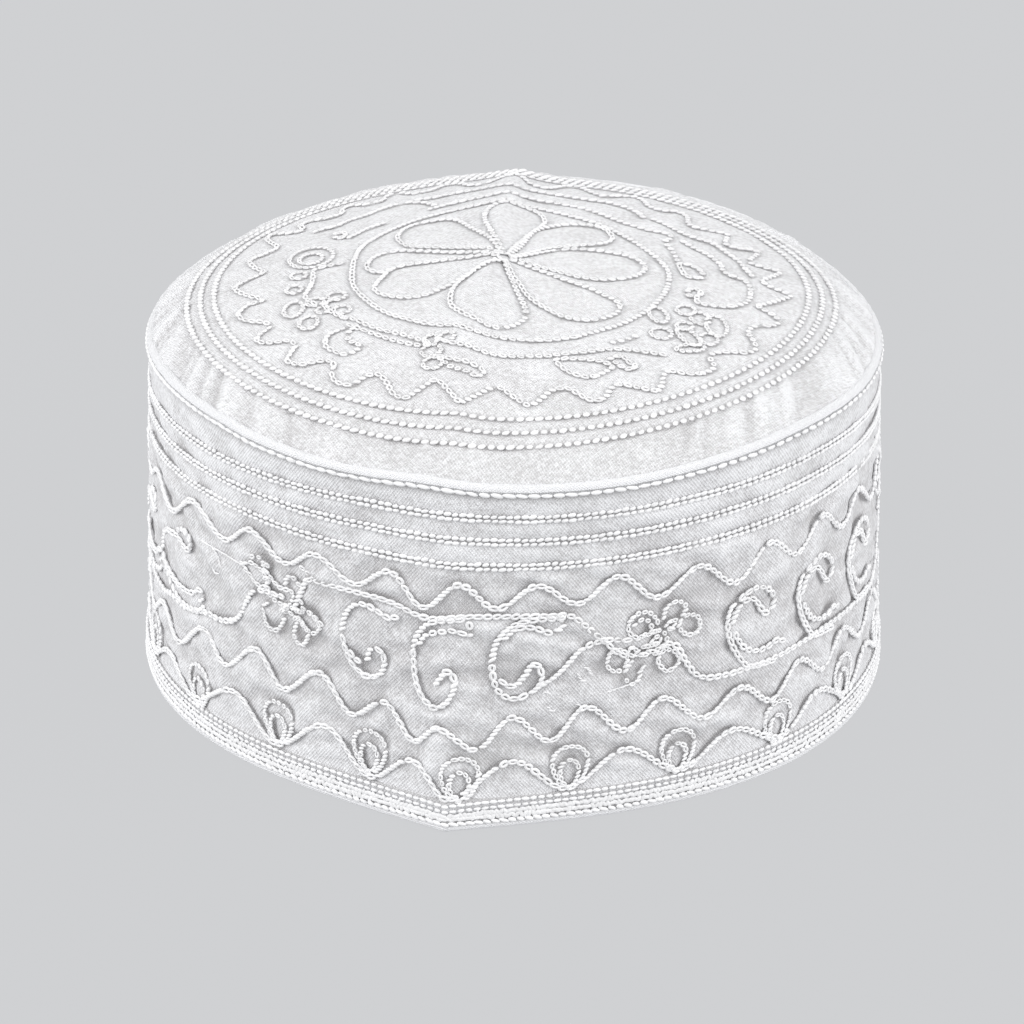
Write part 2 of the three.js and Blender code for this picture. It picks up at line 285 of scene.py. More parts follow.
petals = [
    [(-3.4, -1), (-8.9, -7), (-11.1, -11.4), (-13, -14.5), (-14.3, -18.3), (-14.4, -23.3), (-13.6, -27.3),
     (-11.6, -30.3), (-8.6, -33.6), (-4.9, -36.2), (-1.8, -36.8), (1.4, -35.4), (3.9, -32.6), (5.1, -29.5),
     (4.8, -26.4), (3.6, -22), (2, -17.6), (0.4, -12.6), (-1.2, -8), (-3, -1.5)],
    [(-2.6, -1.5), (0.1, -8.9), (2, -12.6), (3.9, -17), (6.4, -20.75), (9.5, -23.9), (13.25, -27),
     (17, -28.5), (20.75, -28.4), (24.5, -26.7), (27, -23.9), (27.9, -20.75), (27, -17.6), (24.5, -15.1),
     (21.4, -12.6), (17.6, -9.8), (13.25, -7.3), (8.25, -4.2), (4, -1.8), (-1, 0.4)],
    [(-1, 1.6), (2, 1.2), (5.75, -0.75), (9.5, -2.1), (13.25, -3.7), (17, -5), (20.75, -5.4), (24.5, -4.8),
     (27.9, -3.25), (30.4, -1.1), (32, 1.75), (32.3, 4.9), (31.1, 8), (28.9, 10.4), (25.75, 12.1),
     (21.4, 13), (17, 13.4), (13.25, 13), (9.5, 11.4), (5.75, 8.9), (2, 5.4), (-1, 2.6)],
    [(-2.2, 3.4), (-0.6, 8.5), (0.4, 13.5), (1.25, 18.6), (2.3, 22.4), (4.2, 25.8), (6.7, 28.3),
     (9.8, 30.5), (13.25, 31.6), (16.7, 31.4), (19.5, 29.9), (21.5, 26.75), (22.5, 23.3), (21.7, 19.9),
     (19.2, 17.9), (15.75, 16.4), (12, 14.6), (8.25, 12.7), (4.5, 9.6), (1.2, 6), (-1.6, 3)],
    [(-3.8, 3.4), (-5.6, 8.4), (-7.4, 13), (-9.1, 18.9), (-10.6, 24.25), (-11.25, 29.25), (-11, 33),
     (-9.75, 36.6), (-7.4, 38.7), (-4.25, 39.4), (-1.1, 39), (1.4, 37.5), (3.25, 34.9), (4.2, 31.1),
     (3.9, 28), (2.6, 24.25), (1.1, 19.25), (-0.2, 14.25), (-1.4, 9.9), (-2.8, 3.6)],
    [(-4.6, 3), (-8, 10.8), (-10.5, 15.2), (-13, 19.25), (-15.5, 23.3), (-17.7, 27), (-19.9, 28.9),
     (-22.4, 29.4), (-25.5, 28.75), (-28.6, 27.4), (-31, 24.9), (-32.4, 21.75), (-32.8, 18.6),
     (-32.25, 15.5), (-30.5, 12.25), (-28.3, 10.4), (-24.9, 9.3), (-21.1, 8.5), (-17.4, 7.3), (-13, 5.9),
     (-9.25, 4.5), (-5.4, 2.4)],
    [(-6, 1.2), (-9, 1.6), (-13, 2.9), (-18, 4.4), (-23, 6), (-27.4, 7.2), (-30.5, 7.7), (-33.6, 7.1),
     (-36.25, 5.2), (-37.8, 2.5), (-38.3, -0.75), (-37.8, -3.25), (-36.1, -5.25), (-34.1, -5.9), (-32, -4.9)],
    [(-5.6, 0.2), (-9.9, -0.4), (-14.25, -0.4), (-18.6, -0.6), (-22.4, -0.9), (-26.1, -1.6), (-29.25, -2.6),
     (-31.8, -4.6), (-33, -7.9), (-34.1, -11.4), (-34.6, -14.5), (-33.9, -17), (-31.75, -19.2),
     (-28.6, -20.75), (-24.9, -21.4), (-21.1, -20.6), (-18.3, -18.6), (-15.5, -16.1), (-12.4, -12.6),
     (-9.9, -9.2), (-7.4, -5.75), (-4.4, -0.6)],
]
zigzag = [
    (-69.9, 8.6), (-68, 3), (-65, -1.4), (-68.5, -5), (-71.1, -8.9), (-68, -13.9), (-62.6, -18.6),
    (-66.1, -20.6), (-67.7, -25.1), (-64.9, -28.9), (-60.5, -30.75), (-58.3, -33.25), (-60.4, -36.4),
    (-60.6, -39.8), (-56.75, -41.1), (-53, -40.9), (-50.6, -43.25), (-51.4, -47), (-51.6, -50), (-48, -52),
    (-44.25, -51.1), (-41.1, -51.2), (-39.7, -53), (-39.6, -57), (-38, -60.2), (-34.25, -61.4),
    (-31.1, -58.4), (-28, -57.9), (-25.5, -61.4), (-23.6, -65.5), (-20.5, -67.4), (-17.8, -65.1),
    (-13.6, -61.3), (-9.9, -65.75), (-6.75, -69.8), (-3.6, -67), (1.2, -62.3), (6.2, -65.8), (9.5, -68.1),
    (12, -66), (14.6, -61.8), (18.25, -60.5), (22, -63), (25.1, -64.4), (27.8, -62.4), (28.6, -59.3),
    (30.6, -57), (34.5, -57.3), (39.8, -57.8), (40.8, -55), (41, -51), (42.4, -49), (46.4, -49.1),
    (50.4, -47.9), (52.9, -44.5), (51.6, -40.6), (52.8, -38), (56.4, -36.5), (60.1, -35.7), (62.3, -33.6),
    (62, -30), (60.3, -26), (61.4, -22), (65.8, -19.5), (67.4, -16.6), (65.6, -13.6), (62, -10.3),
    (64.4, -7.4), (68.6, -2), (69.3, 0.5), (64.8, 3), (62.3, 5.6), (63, 8.2), (65.3, 12.2), (66.2, 15.4),
    (62.6, 16.1), (58.8, 17.2), (58.4, 20.4), (59.8, 25.2), (58.9, 28.4), (54.6, 27.5), (51.6, 29),
    (51.5, 33.6), (51.3, 37.8), (47.4, 38.6), (42.4, 39.9), (40.8, 43.4), (40.2, 48.4), (37.4, 51.8),
    (33.4, 51.2), (29.8, 53.6), (28.4, 58), (26, 61.6), (22, 61.4), (17.6, 59.4), (14, 62), (10.4, 66.8),
    (6.4, 66.4), (2.4, 61.6), (-2.4, 62), (-6, 67.4), (-10, 66.6), (-14, 61.2), (-18.4, 60.4), (-22, 64),
    (-26, 63), (-29.2, 58.2), (-33.4, 55.8), (-37.8, 58.4), (-40.4, 55.6), (-41, 51), (-44.8, 48),
    (-49.2, 48.4), (-51, 44.8), (-50.6, 40.8), (-54, 37.8), (-58.6, 36.4), (-60.4, 32.6), (-58.8, 29),
    (-61.8, 27.2), (-67, 28.6), (-68, 25), (-66.2, 20.6), (-64, 16), (-66.4, 12.4)
]
wreath = [
    [(-39.9, -31), (-36.75, -32.4), (-33, -35.75), (-28.6, -38.4), (-24, -40.6), (-20.5, -42.8),
     (-18, -44.2)],
    [(-38, -35), (-34.6, -37.4), (-31.2, -39.7), (-27.4, -42.2), (-24.25, -44), (-20.6, -45.6), (-17.6, -46)],
    [(-15, -43.6), (-12, -45.4), (-8.6, -47), (-5.5, -48.3), (-1.75, -49), (3.25, -48.8), (9.5, -47.7),
     (13.25, -46.9), (17.6, -45.1), (22, -43.7), (26.4, -42), (30.75, -41.4), (34.5, -41.4), (40.1, -42)],
    [(14.5, -48.6), (16.4, -52), (18.9, -54), (22, -55.1), (24.5, -54.5), (27, -52), (28.3, -50),
     (26.4, -48.2), (23.9, -47.5), (19, -47.6), (14.5, -48.6)],
    [(27.6, -46.2), (30.4, -44.6), (31.6, -46.6), (33.8, -48.8), (31.8, -50.2), (29.4, -48.2), (27.6, -46.2)],
    [(27.6, -38.6), (30.2, -37), (32.8, -34.6)],
    [(-36.75, -35.1), (-40.5, -37), (-43, -39.5), (-43, -43.9), (-41.1, -46.4), (-38, -48.6),
     (-35.5, -47.6), (-34.2, -45.1), (-35.9, -43.6), (-37.6, -41.6), (-38, -38.6), (-36.75, -35.1)],
    [(-13.4, -51.6), (-9.25, -53.6), (-5.5, -54.9), (-2.4, -56.8), (-3.6, -59.1), (-6.75, -58.1),
     (-10.5, -56.2), (-13.4, -52.4)],
    [(-45.5, 1), (-49, -0.6), (-51.6, -2.4), (-51.2, -8), (-51.2, -13), (-51.8, -17), (-51, -20),
     (-48.8, -22.6)],
    [(-44, -20), (-46, -24), (-43.4, -28), (-40.6, -30.6)],
    [(44.5, -5.8), (46.2, -5.6), (47.2, -7.4), (46.6, -9.4), (44.8, -9.9), (43.9, -8.2), (44.5, -5.8)],
    [(46.4, -10.4), (47, -13.25), (50.1, -13.9), (53.25, -13.6), (56.4, -12), (58.7, -9.5), (59.5, -6.4),
     (59.5, -1.4), (58.7, 2.4), (57, 4.9), (54.5, 6.1)],
    [(54.5, 6.1), (52, 8.6), (51.2, 12.4), (49.3, 16.1), (47, 19.25), (43.25, 23), (40.75, 26.1)],
    [(40.75, 9.9), (41.8, 4.6), (43.4, 1.9), (47, 2.2), (46.6, 6), (44.5, 8.8), (40.75, 9.9)],
    [(40.6, 9.4), (39.9, 12.4), (38.4, 18), (36.8, 22)],
    [(59.2, 8.6), (57, 13.6), (55.1, 18), (52.2, 22.4), (49.5, 26.6), (46.8, 29.2), (43.25, 30.6),
     (39.5, 33.6), (35.75, 38), (32, 41.75)],
    [(36.2, 25.2), (37.4, 28.4), (36, 31), (31.4, 32.2), (28.2, 33.8), (25.5, 35.4), (22, 38.2),
     (18.9, 41.1), (14.5, 44.25), (9.5, 46.75), (3.25, 48), (-3, 48)],
    [(28.9, 43), (27, 46.75), (23.25, 50.5), (18.9, 53), (12.6, 54.25), (7, 55.5), (1, 56)],
    [(-3, 48), (-9.6, 47.4), (-16, 45.4), (-22, 42.6), (-26.8, 39.2)],
    [(-26.1, 42.4), (-29.25, 45.5), (-34.25, 46.9), (-37.4, 44.9), (-40.5, 41.75), (-43, 38), (-45.5, 35.5),
     (-48, 33), (-49.9, 29.9), (-53, 28), (-55.5, 26.1)],
    [(-38, 29.25), (-41.75, 25.5), (-43.6, 22.4), (-45.6, 19.4)],
    [(-47.6, 19.4), (-49.8, 20.6), (-49.4, 23), (-47, 22.6), (-47.6, 19.4)],
    [(1, 56), (-5, 55.4), (-11, 56), (-17, 54.4), (-22.4, 52.6), (-27, 50), (-31, 49)],
]
# loops of the crown's flower clusters: x, y, half width, half height, turn in degrees
crownLoops = [
    (44.2, -18.2, 2.3, 2.6, 0), (37.6, -22.4, 2.2, 4.0, 20), (48, -21.8, 2.4, 3.2, 20),
    (52.2, -24.6, 2.6, 5.2, 12), (44.4, -26.8, 2.0, 2.0, 0), (39, -31.8, 2.6, 2.6, 0),
    (45.8, -32, 2.0, 4.6, 35), (50.8, -31.8, 2.2, 2.8, 0), (46.6, -37.4, 3.6, 1.6, 20),
    (-43.6, -18.9, 2.3, 2.3, 0), (-48.6, -21.8, 2.2, 2.2, 0), (-53.7, -25.1, 2.4, 4.1, 0),
    (-46, -26.4, 1.7, 1.7, 0), (-48.8, -32.6, 2.3, 3.2, 0), (-41.2, -26.6, 2.1, 2.1, 0),
    (-16.8, -43.4, 1.8, 2.0, 0), (-13, -42.6, 1.8, 2.0, 0), (-16.2, -48.6, 2.4, 2.7, 0),
    (-15.2, -54, 2.4, 2.4, 0), (-55.2, -5.4, 2.0, 2.1, 0), (-55.2, -13.9, 2.0, 2.2, 0),
    (-53.6, 6.2, 5.6, 7.0, 0), (-53.6, 5.2, 3.0, 3.6, 0)
]


pathStep, levelStep = 0.45, 0.6  # millimetres between points of a path, and of one that runs right round
loopPoints = 28


def smoothPath(points, closed=False):
    # a soft curve through the chart's points
    chart = np.array(points, float)
    if not closed and len(chart) > 3 and np.allclose(chart[0], chart[-1]):
        chart, closed = chart[:-1], True
    count = len(chart)
    made = []
    for i in range(count if closed else count - 1):
        near = [(i + k) % count if closed else min(max(i + k, 0), count - 1) for k in (-1, 0, 1, 2)]
        a, b, c, d = chart[near]
        pieces = max(2, int(np.linalg.norm(c - b) / pathStep))
        t = np.arange(pieces)[:, None] / pieces
        made.append(0.5 * (2 * b + (c - a) * t + (2 * a - 5 * b + 4 * c - d) * t ** 2
                           + (3 * b - a - 3 * c + d) * t ** 3))
    if not closed:
        made.append(chart[-1:])
    return np.concatenate(made), closed


def loopPath(x, y, halfWidth, halfHeight, turn=0.0, pinch=0.0):
    t = np.linspace(0, 2 * math.pi, loopPoints, endpoint=False)
    across, up = halfWidth * np.cos(t) * (1 + pinch * np.sin(t)), halfHeight * np.sin(t)
    c, s = math.cos(math.radians(turn)), math.sin(math.radians(turn))
    return [(x + a * c - b * s, y + a * s + b * c) for a, b in zip(across, up)]


def waveAround(seen, period, crest, trough):
    # carries a charted wave on round the hidden back, evenly
    first, last = seen[0], seen[-1]
    gap = girth - (last[0] - first[0])
    lastIsCrest = last[1] > seen[-2][1]
    firstIsCrest = first[1] > seen[1][1]
    halves = max(2, int(round(gap / (period / 2))))
    if (halves % 2 == 0) != (lastIsCrest == firstIsCrest):
        halves += 1
    extra = []
    for k in range(1, halves):
        isCrest = lastIsCrest if k % 2 == 0 else not lastIsCrest
        extra.append((last[0] + gap * k / halves, crest if isCrest else trough))
    return list(seen) + extra


def wavePath(turns):
    # a soft wave whose crests and troughs are level
    turns = list(turns) + [(turns[0][0] + girth, turns[0][1])]
    made = []
    for (s0, z0), (s1, z1) in zip(turns[:-1], turns[1:]):
        pieces = max(4, int(math.hypot(s1 - s0, z1 - z0) / pathStep))
        t = np.arange(pieces) / pieces
        soft = 0.5 - 0.5 * np.cos(math.pi * t)
        made.append(np.stack([s0 + (s1 - s0) * t, z0 + (z1 - z0) * soft], -1))
    return np.concatenate(made), True


# how far a chain's bars lean as their line climbs, and the climb from which it lies closed, in radians
chainLean = {"share": 0.5, "least": 0.12, "closedFrom": 0.5}


def slantOf(chart, closed):
    # the chain lies open along a line; where it climbs to the right its threads lie like a rope's strands
    ahead = np.roll(chart, -1, 0) - np.roll(chart, 1, 0)
    if not closed:
        ahead[0], ahead[-1] = chart[1] - chart[0], chart[-1] - chart[-2]
    angle = np.arctan2(ahead[:, 1], ahead[:, 0])
    angle = (angle + math.pi / 2) % math.pi - math.pi / 2
    isOpen = (angle < chainLean["closedFrom"]).astype(float)
    return -(chainLean["share"] * angle + chainLean["least"]), isOpen


def laidOn(points, closed, place, normal):
    chart, closed = points if isinstance(points, tuple) else smoothPath(points, closed)
    slant, isOpen = slantOf(chart, closed)
    return {"at": place(*chart.T), "out": normal(*chart.T), "slant": slant, "open": isOpen, "closed": closed}


def onBand(points, closed=False):
    return laidOn(points, closed, lambda arc, height: wallPoint(azimuthAt(arc), height),
                  lambda arc, height: wallNormal(azimuthAt(arc), height))


def onCrown(points, closed=False):
    return laidOn(points, closed, crownPoint, crownNormal)


def plain(path, slant=0.0, proud=0.0):
    # stitches that keep one slant along the whole line, and may stand proud of the cloth
    path["slant"] = path["slant"] * 0 + slant
    path["open"] = path["open"] * 0 + 1
    path["at"] = path["at"] + path["out"] * proud
    return path


def ringPath(radius):
    # the rings draw in towards the back, and spread apart at the front
    t = np.linspace(0, 2 * math.pi, edgeRings["points"], endpoint=False)
    backDraw = edgeRings["backDraw"] * np.maximum(0, np.sin(t)) ** 2
    spread = edgeRings["frontSpread"] * (edgeRings["radii"][-1] - radius)
    drawn = radius - backDraw - spread * np.maximum(0, -np.sin(t)) ** 2
    return np.stack([ringMiddle[0] + drawn * np.cos(t), ringMiddle[1] + drawn * np.sin(t)], -1), True


def levelPath(heightAt):
    arc = np.arange(0, girth, levelStep)
    return np.stack([arc, heightAt((arc + girth / 2) % girth - girth / 2)], -1), True


def rowHeight(column):
    table = np.array(rowHeights)
    reach = np.concatenate([[-girth / 2], table[:, 0], [girth / 2]])
    level = np.concatenate([[table[:, column].min()], table[:, column], [table[:, column].min()]])
    return lambda arc: np.interp(arc, reach, level)


def shifted(points, by):
    return [(s + by, z) for s, z in points]


vine = {"sections": 6, "hookPitch": 23.1, "leftPitch": -25, "knotRadius": 0.5}


def bandVine():
    # sections round the band: hanging hooks from a top vine, then rising hooks from a bottom vine
    section = girth / vine["sections"]
    paths, clusters = [], []
    for turn in (0, 2, 4):
        by = turn * section
        paths += [onBand(shifted(line, by)) for line in [topVine] + topHooks]
        # two long threads show only at the front
        flowers = rightFlower + (leftFlower[:-2] if turn else leftFlower)
        clusters += [onBand(shifted(line, by)) for line in flowers]
        for s, z in flowerKnots:
            clusters.append(onBand(loopPath(s + by, z, vine["knotRadius"], vine["knotRadius"]), True))
    for turn in (0, 2):
        by = turn * section
        paths.append(onBand(shifted(bottomVine, by)))
        for k in range(3):
            paths += [onBand(shifted(line, by + vine["hookPitch"] * k)) for line in (bottomHook, bottomLeaf)]
    paths += [onBand(line) for line in (leftVine, leftHook, leftLeaf)]
    paths += [onBand(shifted(line, vine["leftPitch"])) for line in (leftHook, leftLeaf)]
    return paths, clusters


# the two loops under each wave: shift along, shift up, half width, half height, turn, pinch
hangingLoops = {"pitch": 28, "height": 15.2,
                "shapes": [(0, -0.8, 4.3, 5.9, 0, 0.28), (-0.2, -2.5, 2.3, 3.8, 0, 0.2)]}


def bandLoops():
    seen = list(loopsSeen)
    gap = girth - (seen[-1][0] - seen[0][0])
    count = int(round(gap / hangingLoops["pitch"]))
    seen += [(seen[-1][0] + gap * k / count, hangingLoops["height"]) for k in range(1, count)]
    return [onBand(loopPath(s + along, z + up, *shape), True)
            for s, z in seen for along, up, *shape in hangingLoops["shapes"]]


bandRowPaths = [plain(onBand(levelPath(rowHeight(k))), slant=0.2) for k in (1, 2, 3)]
# each wave's turns that show, then the period, crest and trough of the hidden ones
waves = [(upperWaveSeen, 20, 65.5, 58.5), (middleWaveSeen, 20, 29, 21.5), (lowerWaveSeen, 29, 16.5, 9.2)]
wavePaths = [onBand(wavePath(waveAround(*row))) for row in waves]
bandVinePaths, bandClusterPaths = bandVine()
bandLoopPaths = bandLoops()
crownRingPaths = [plain(onCrown(ringPath(r)), slant=0.5) for r in edgeRings["radii"]]
innerRingPath = onCrown(innerRing, True)
petalPaths = [onCrown(petal) for petal in petals]
zigzagPath = onCrown(zigzag, True)
wreathPaths = [onCrown(line) for line in wreath]
crownClusterPaths = [onCrown(loopPath(*row), True) for row in crownLoops]
print("charts laid on the cap, girth", round(girth, 1))

# rows of stitches on the hem: height, slant; the upper ones dip at the front crease
hemRows = {"top": (8.1, 0), "second": (6.6, 0), "fillHigh": (5.2, 0), "fillLow": (3.7, 0),
           "low": (2.3, -0.28)}
hemDip = {"depth": 0.9, "reach": 14, "above": 5, "proud": 0.7}
weltRow = {"height": 90.5, "slant": -0.13, "proud": 0.5}


def hemRowPath(height, slant):
    depth = hemDip["depth"] * (height > hemDip["above"])
    row = levelPath(lambda arc: height - depth * np.exp(-np.abs(arc) / hemDip["reach"]))
    return plain(onBand(row), slant, hemDip["proud"])


hemRowPaths = {name: hemRowPath(*row) for name, row in hemRows.items()}
weltStitchPath = plain(onBand(levelPath(lambda arc: weltRow["height"] + weltRise(azimuthAt(arc)))),
                       weltRow["slant"], weltRow["proud"])

# cloth is drawn in along every line of stitches, and is painted darker beside it as painted shade
stitchedLines = bandRowPaths + wavePaths + bandVinePaths + bandClusterPaths + bandLoopPaths
stitchedLines += crownRingPaths + [innerRingPath, zigzagPath] + petalPaths + wreathPaths + crownClusterPaths
linePoints = np.concatenate([path["at"] for path in stitchedLines])
lineTree = KDTree(len(linePoints))
for index, point in enumerate(linePoints):
    lineTree.insert(point, index)
lineTree.balance()


def awayFromStitches(points):
    return np.array([lineTree.find(point)[2] for point in points])


def softNoise(points, size, seed):
    # smooth noise between -1 and 1 whose lumps are about size millimetres
    shift = Vector((seed * 17.3, seed * 5.9, seed * 11.1))
    return np.array([noise.noise(Vector(point) / size + shift) for point in points])


def addObject(name, data):
    made = bpy.data.objects.new(name, data)
    bpy.context.scene.collection.objects.link(made)
    return made


def meshObject(name, points, faces):
    mesh = bpy.data.meshes.new(name)
    mesh.from_pydata([tuple(point) for point in np.asarray(points) * mm], [], faces)
    mesh.update()
    mesh.polygons.foreach_set("use_smooth", [True] * len(mesh.polygons))
    return addObject(name, mesh)


def storeFloats(mesh, name, values):
    layer = mesh.attributes.new(name, "FLOAT", "POINT")
    layer.data.foreach_set("value", np.asarray(values, np.float32))


chartScale = 10 * mm  # the cloth chart's units for each millimetre


def storeUv(mesh, chart):
    layer = mesh.uv_layers.new(name="cloth")
    loops = np.empty(len(mesh.loops), np.int32)
    mesh.loops.foreach_get("vertex_index", loops)
    flat = np.asarray(chart, np.float64)[loops]
    # a face that closes a ring takes its far side from one girth on
    starts = np.empty(len(mesh.polygons), np.int32)
    counts = np.empty(len(mesh.polygons), np.int32)
    mesh.polygons.foreach_get("loop_start", starts)
    mesh.polygons.foreach_get("loop_total", counts)
    furthest = np.repeat(np.maximum.reduceat(flat[:, 0], starts), counts)
    flat[:, 0] += girth * (furthest - flat[:, 0] > girth / 2)
    layer.data.foreach_set("uv", (flat * chartScale).astype(np.float32).ravel())


def storeCloth(made, chart, stitchShade, tones, innerTone):
    # what the cloth's material reads, with the painted shade by the stitches; the inner face has no stitches
    inner = len(made.data.vertices) - len(tones)
    storeUv(made.data, chart)
    storeFloats(made.data, "stitchShade", np.append(stitchShade, np.zeros(inner)))
    storeFloats(made.data, "tone", np.append(tones, np.full(inner, innerTone)))


# materials
def nodeMaterial(name):
    material = bpy.data.materials.new(name)
    material.use_nodes = True
    tree = material.node_tree
    shader = next(node for node in tree.nodes if node.type == "BSDF_PRINCIPLED")
    return material, tree, shader


def addNode(tree, kind, **settings):
    node = tree.nodes.new(kind)
    for key, value in settings.items():
        setattr(node, key, value)
    return node


def mathNode(tree, operation, first, second=None, clamp=False):
    node = addNode(tree, "ShaderNodeMath", operation=operation, use_clamp=clamp)
    for socket, value in zip(node.inputs, (first, second)):
        if isinstance(value, (int, float)):
            socket.default_value = value
        elif value is not None:
            tree.links.new(value, socket)
    return node.outputs[0]


def noiseNode(tree, scale, detail):
    made = addNode(tree, "ShaderNodeTexNoise")
    made.inputs["Scale"].default_value = scale
    made.inputs["Detail"].default_value = detail
    place = addNode(tree, "ShaderNodeTexCoord")
    tree.links.new(place.outputs["Object"], made.inputs["Vector"])
    return made.outputs["Fac"]


def attribute(tree, name):
    return addNode(tree, "ShaderNodeAttribute", attribute_name=name).outputs["Fac"]


def mixNode(tree, share, first, second):
    # sockets 6 and 7 are the two colours, and output 2 the mixed one
    mix = addNode(tree, "ShaderNodeMix", data_type="RGBA")
    tree.links.new(share, mix.inputs[0])
    for index, value in ((6, first), (7, second)):
        if isinstance(value, tuple):
            mix.inputs[index].default_value = (*value, 1)
        else:
            tree.links.new(value, mix.inputs[index])
    return mix.outputs[2]


def dressShader(tree, shader, look, colour, height):
    bump = addNode(tree, "ShaderNodeBump")
    bump.inputs["Distance"].default_value = look["depth"] * mm
    bump.inputs["Strength"].default_value = look["strength"]
    tree.links.new(height, bump.inputs["Height"])
    tree.links.new(bump.outputs[0], shader.inputs["Normal"])
    tree.links.new(colour, shader.inputs["Base Color"])
    shader.inputs["Roughness"].default_value = look["roughness"]
    shader.inputs["Sheen Weight"].default_value = look["sheen"]
    shader.inputs["Specular IOR Level"].default_value = look["specular"]


clothLook = {
    "threadPitch": (0.85, 1.1),  # millimetres from thread to thread in the weave
    "depth": 0.22, "strength": 0.9, "weaveRise": 0.5, "slubRise": 1.2,
    "slubScale": 1000, "puckerLightScale": 110, "slubTone": 2.1, "weaveTone": 0.33,
    # the cloth's light and dull colours, then the colour of the painted shade beside and between the stitches
    "light": (0.93, 0.935, 0.955), "dull": (0.62, 0.612, 0.62), "crease": (0.36, 0.35, 0.35),
    "roughness": 0.85, "sheen": 0.25, "specular": 0.2,
}
threadLook = {
    "bright": (0.98, 0.98, 0.99), "soft": (0.83, 0.828, 0.835), "fibreScale": 1400,
    "depth": 0.08, "strength": 0.5, "roughness": 0.55, "sheen": 0.3, "specular": 0.3,
}


def clothMaterial(name, stitchShadeShare, puckerLightShare):
    # plain weave from the cloth's own chart, its tone from the mesh, soft blotches of painted light and shade
    # that stand in for the puckers' bright streaks, and painted shade along the lines of stitches
    material, tree, shader = nodeMaterial(name)
    chart = addNode(tree, "ShaderNodeUVMap", uv_map="cloth")
    split = addNode(tree, "ShaderNodeSeparateXYZ")
    tree.links.new(chart.outputs[0], split.inputs[0])
    across, along = (
        mathNode(tree, "SINE", mathNode(tree, "MULTIPLY", side, 2 * math.pi / (pitch * chartScale)))
        for side, pitch in zip(split.outputs, clothLook["threadPitch"]))
    weave = mathNode(tree, "MULTIPLY", across, along)
    slub = noiseNode(tree, clothLook["slubScale"], 3)
    # painted light and shade: soft blotches that stand in for the puckers' bright streaks
    puckerLightAndShade = noiseNode(tree, clothLook["puckerLightScale"], 2)

    def scaled(value, by):
        return mathNode(tree, "MULTIPLY", value, by)

    def centred(value, by):
        return scaled(mathNode(tree, "SUBTRACT", value, 0.5), by)

    height = mathNode(tree, "ADD", scaled(weave, clothLook["weaveRise"]), scaled(slub, clothLook["slubRise"]))
    fine = mathNode(tree, "ADD", centred(slub, clothLook["slubTone"]), scaled(weave, clothLook["weaveTone"]))
    toned = mathNode(tree, "ADD", attribute(tree, "tone"), fine)
    level = mathNode(tree, "ADD", toned, centred(puckerLightAndShade, puckerLightShare), clamp=True)
    body = mixNode(tree, level, clothLook["dull"], clothLook["light"])
    # painted shade beside the stitches
    shadeShare = mathNode(tree, "MULTIPLY", attribute(tree, "stitchShade"), stitchShadeShare, clamp=True)
    dressShader(tree, shader, clothLook, mixNode(tree, shadeShare, body, clothLook["crease"]), height)
    return material


def threadMaterial():
    material, tree, shader = nodeMaterial("embroideryThread")
    colour = mixNode(tree, attribute(tree, "tone"), threadLook["soft"], threadLook["bright"])
    dressShader(tree, shader, threadLook, colour, noiseNode(tree, threadLook["fibreScale"], 2))
    return material


# each cloth: how dark its painted shade by the stitches is, and how strong its painted blotches of light and
# shade are
crownCloth = clothMaterial("crownCotton", stitchShadeShare=0.7, puckerLightShare=0.35)
bandCloth = clothMaterial("bandCotton", stitchShadeShare=0.8, puckerLightShare=0.7)
rollCloth = clothMaterial("rolledCotton", stitchShadeShare=0.6, puckerLightShare=0.3)
thread = threadMaterial()
print("materials made")


def finishPiece(made, material, replaces=()):
    made.data.materials.clear()
    made.data.materials.append(material)
    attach(made, "root")
    if replaces:
        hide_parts(*replaces)
    return made


def gridFaces(base, rows, columns, flipped=False):
    # quads between rows of points that each close into a ring
    faces = []
    for a in range(base, base + (rows - 1) * columns, columns):
        for i in range(columns):
            j = (i + 1) % columns
            side, far = (a + columns + i, a + j) if flipped else (a + j, a + columns + i)
            faces.append((a + i, side, a + columns + j, far))
    return faces


def rimFaces(outer, columns, inner, coarse, flipped=False):
    # faces that join a fine outer edge to a coarse inner one
    count = columns // coarse
    faces = []
    for i in range(count):
        corners = [outer + (i * coarse + k) % columns for k in range(coarse + 1)]
        corners += [inner + (i + 1) % count, inner + i]
        faces.append(tuple(corners[coarse::-1] + corners[:coarse:-1] if flipped else corners))
    return faces


# the crown: a disc of cloth with a plain underside
crownPanel = {
    "spokes": 640, "rings": 86, "coarse": 8, "innerRings": 14, "edgeOutset": -1.3, "thickness": 1.9,
    "groove": 0.45, "grooveReach": 1.5, "stitchShadeReach": 0.8, "lip": 0.4, "lipReach": 5.0,
    # the groove along the stitches, the reach of the painted shade beside them, and the lip at the seam
    # the folds in the margin, by radius; they trail outwards and to the front
    "margin": [(80, 0), (85, 1), (90, 1), (96, 0)], "ripple": 0.56, "rippleAtSides": 2.2, "rippleSize": 2.3,
    "rippleRound": 60, "rippleOut": 0.08, "sweep": 0.016, "sweepFrom": 82,
    "dimple": 0.245, "lumps": [(1.0, 9.0, 5), (0.6, 4.5, 7)],  # share, size and seed of its soft lumps
    # a short sharp fold in the margin, where the crease meets the seam: its line, and where it dies away
    "foldY": [-91, -86.8, -81.7], "foldX": [-11.8, -12.5, -13.4], "foldHeight": 0.45, "foldWidth": 0.8,
    "foldEnd": -79, "foldFade": 3,
    # the front margin is painted greyer, as painted shade, and the folds and lumps are painted lighter on
    # their rises and darker in their hollows, as painted light and shade
    "tone": 0.66, "frontShade": 0.26, "shadeFrom": -45, "shadeReach": 35, "rippleLightAndShade": 1.1,
    "dimpleLightAndShade": 0.15, "underTone": 0.5,
}


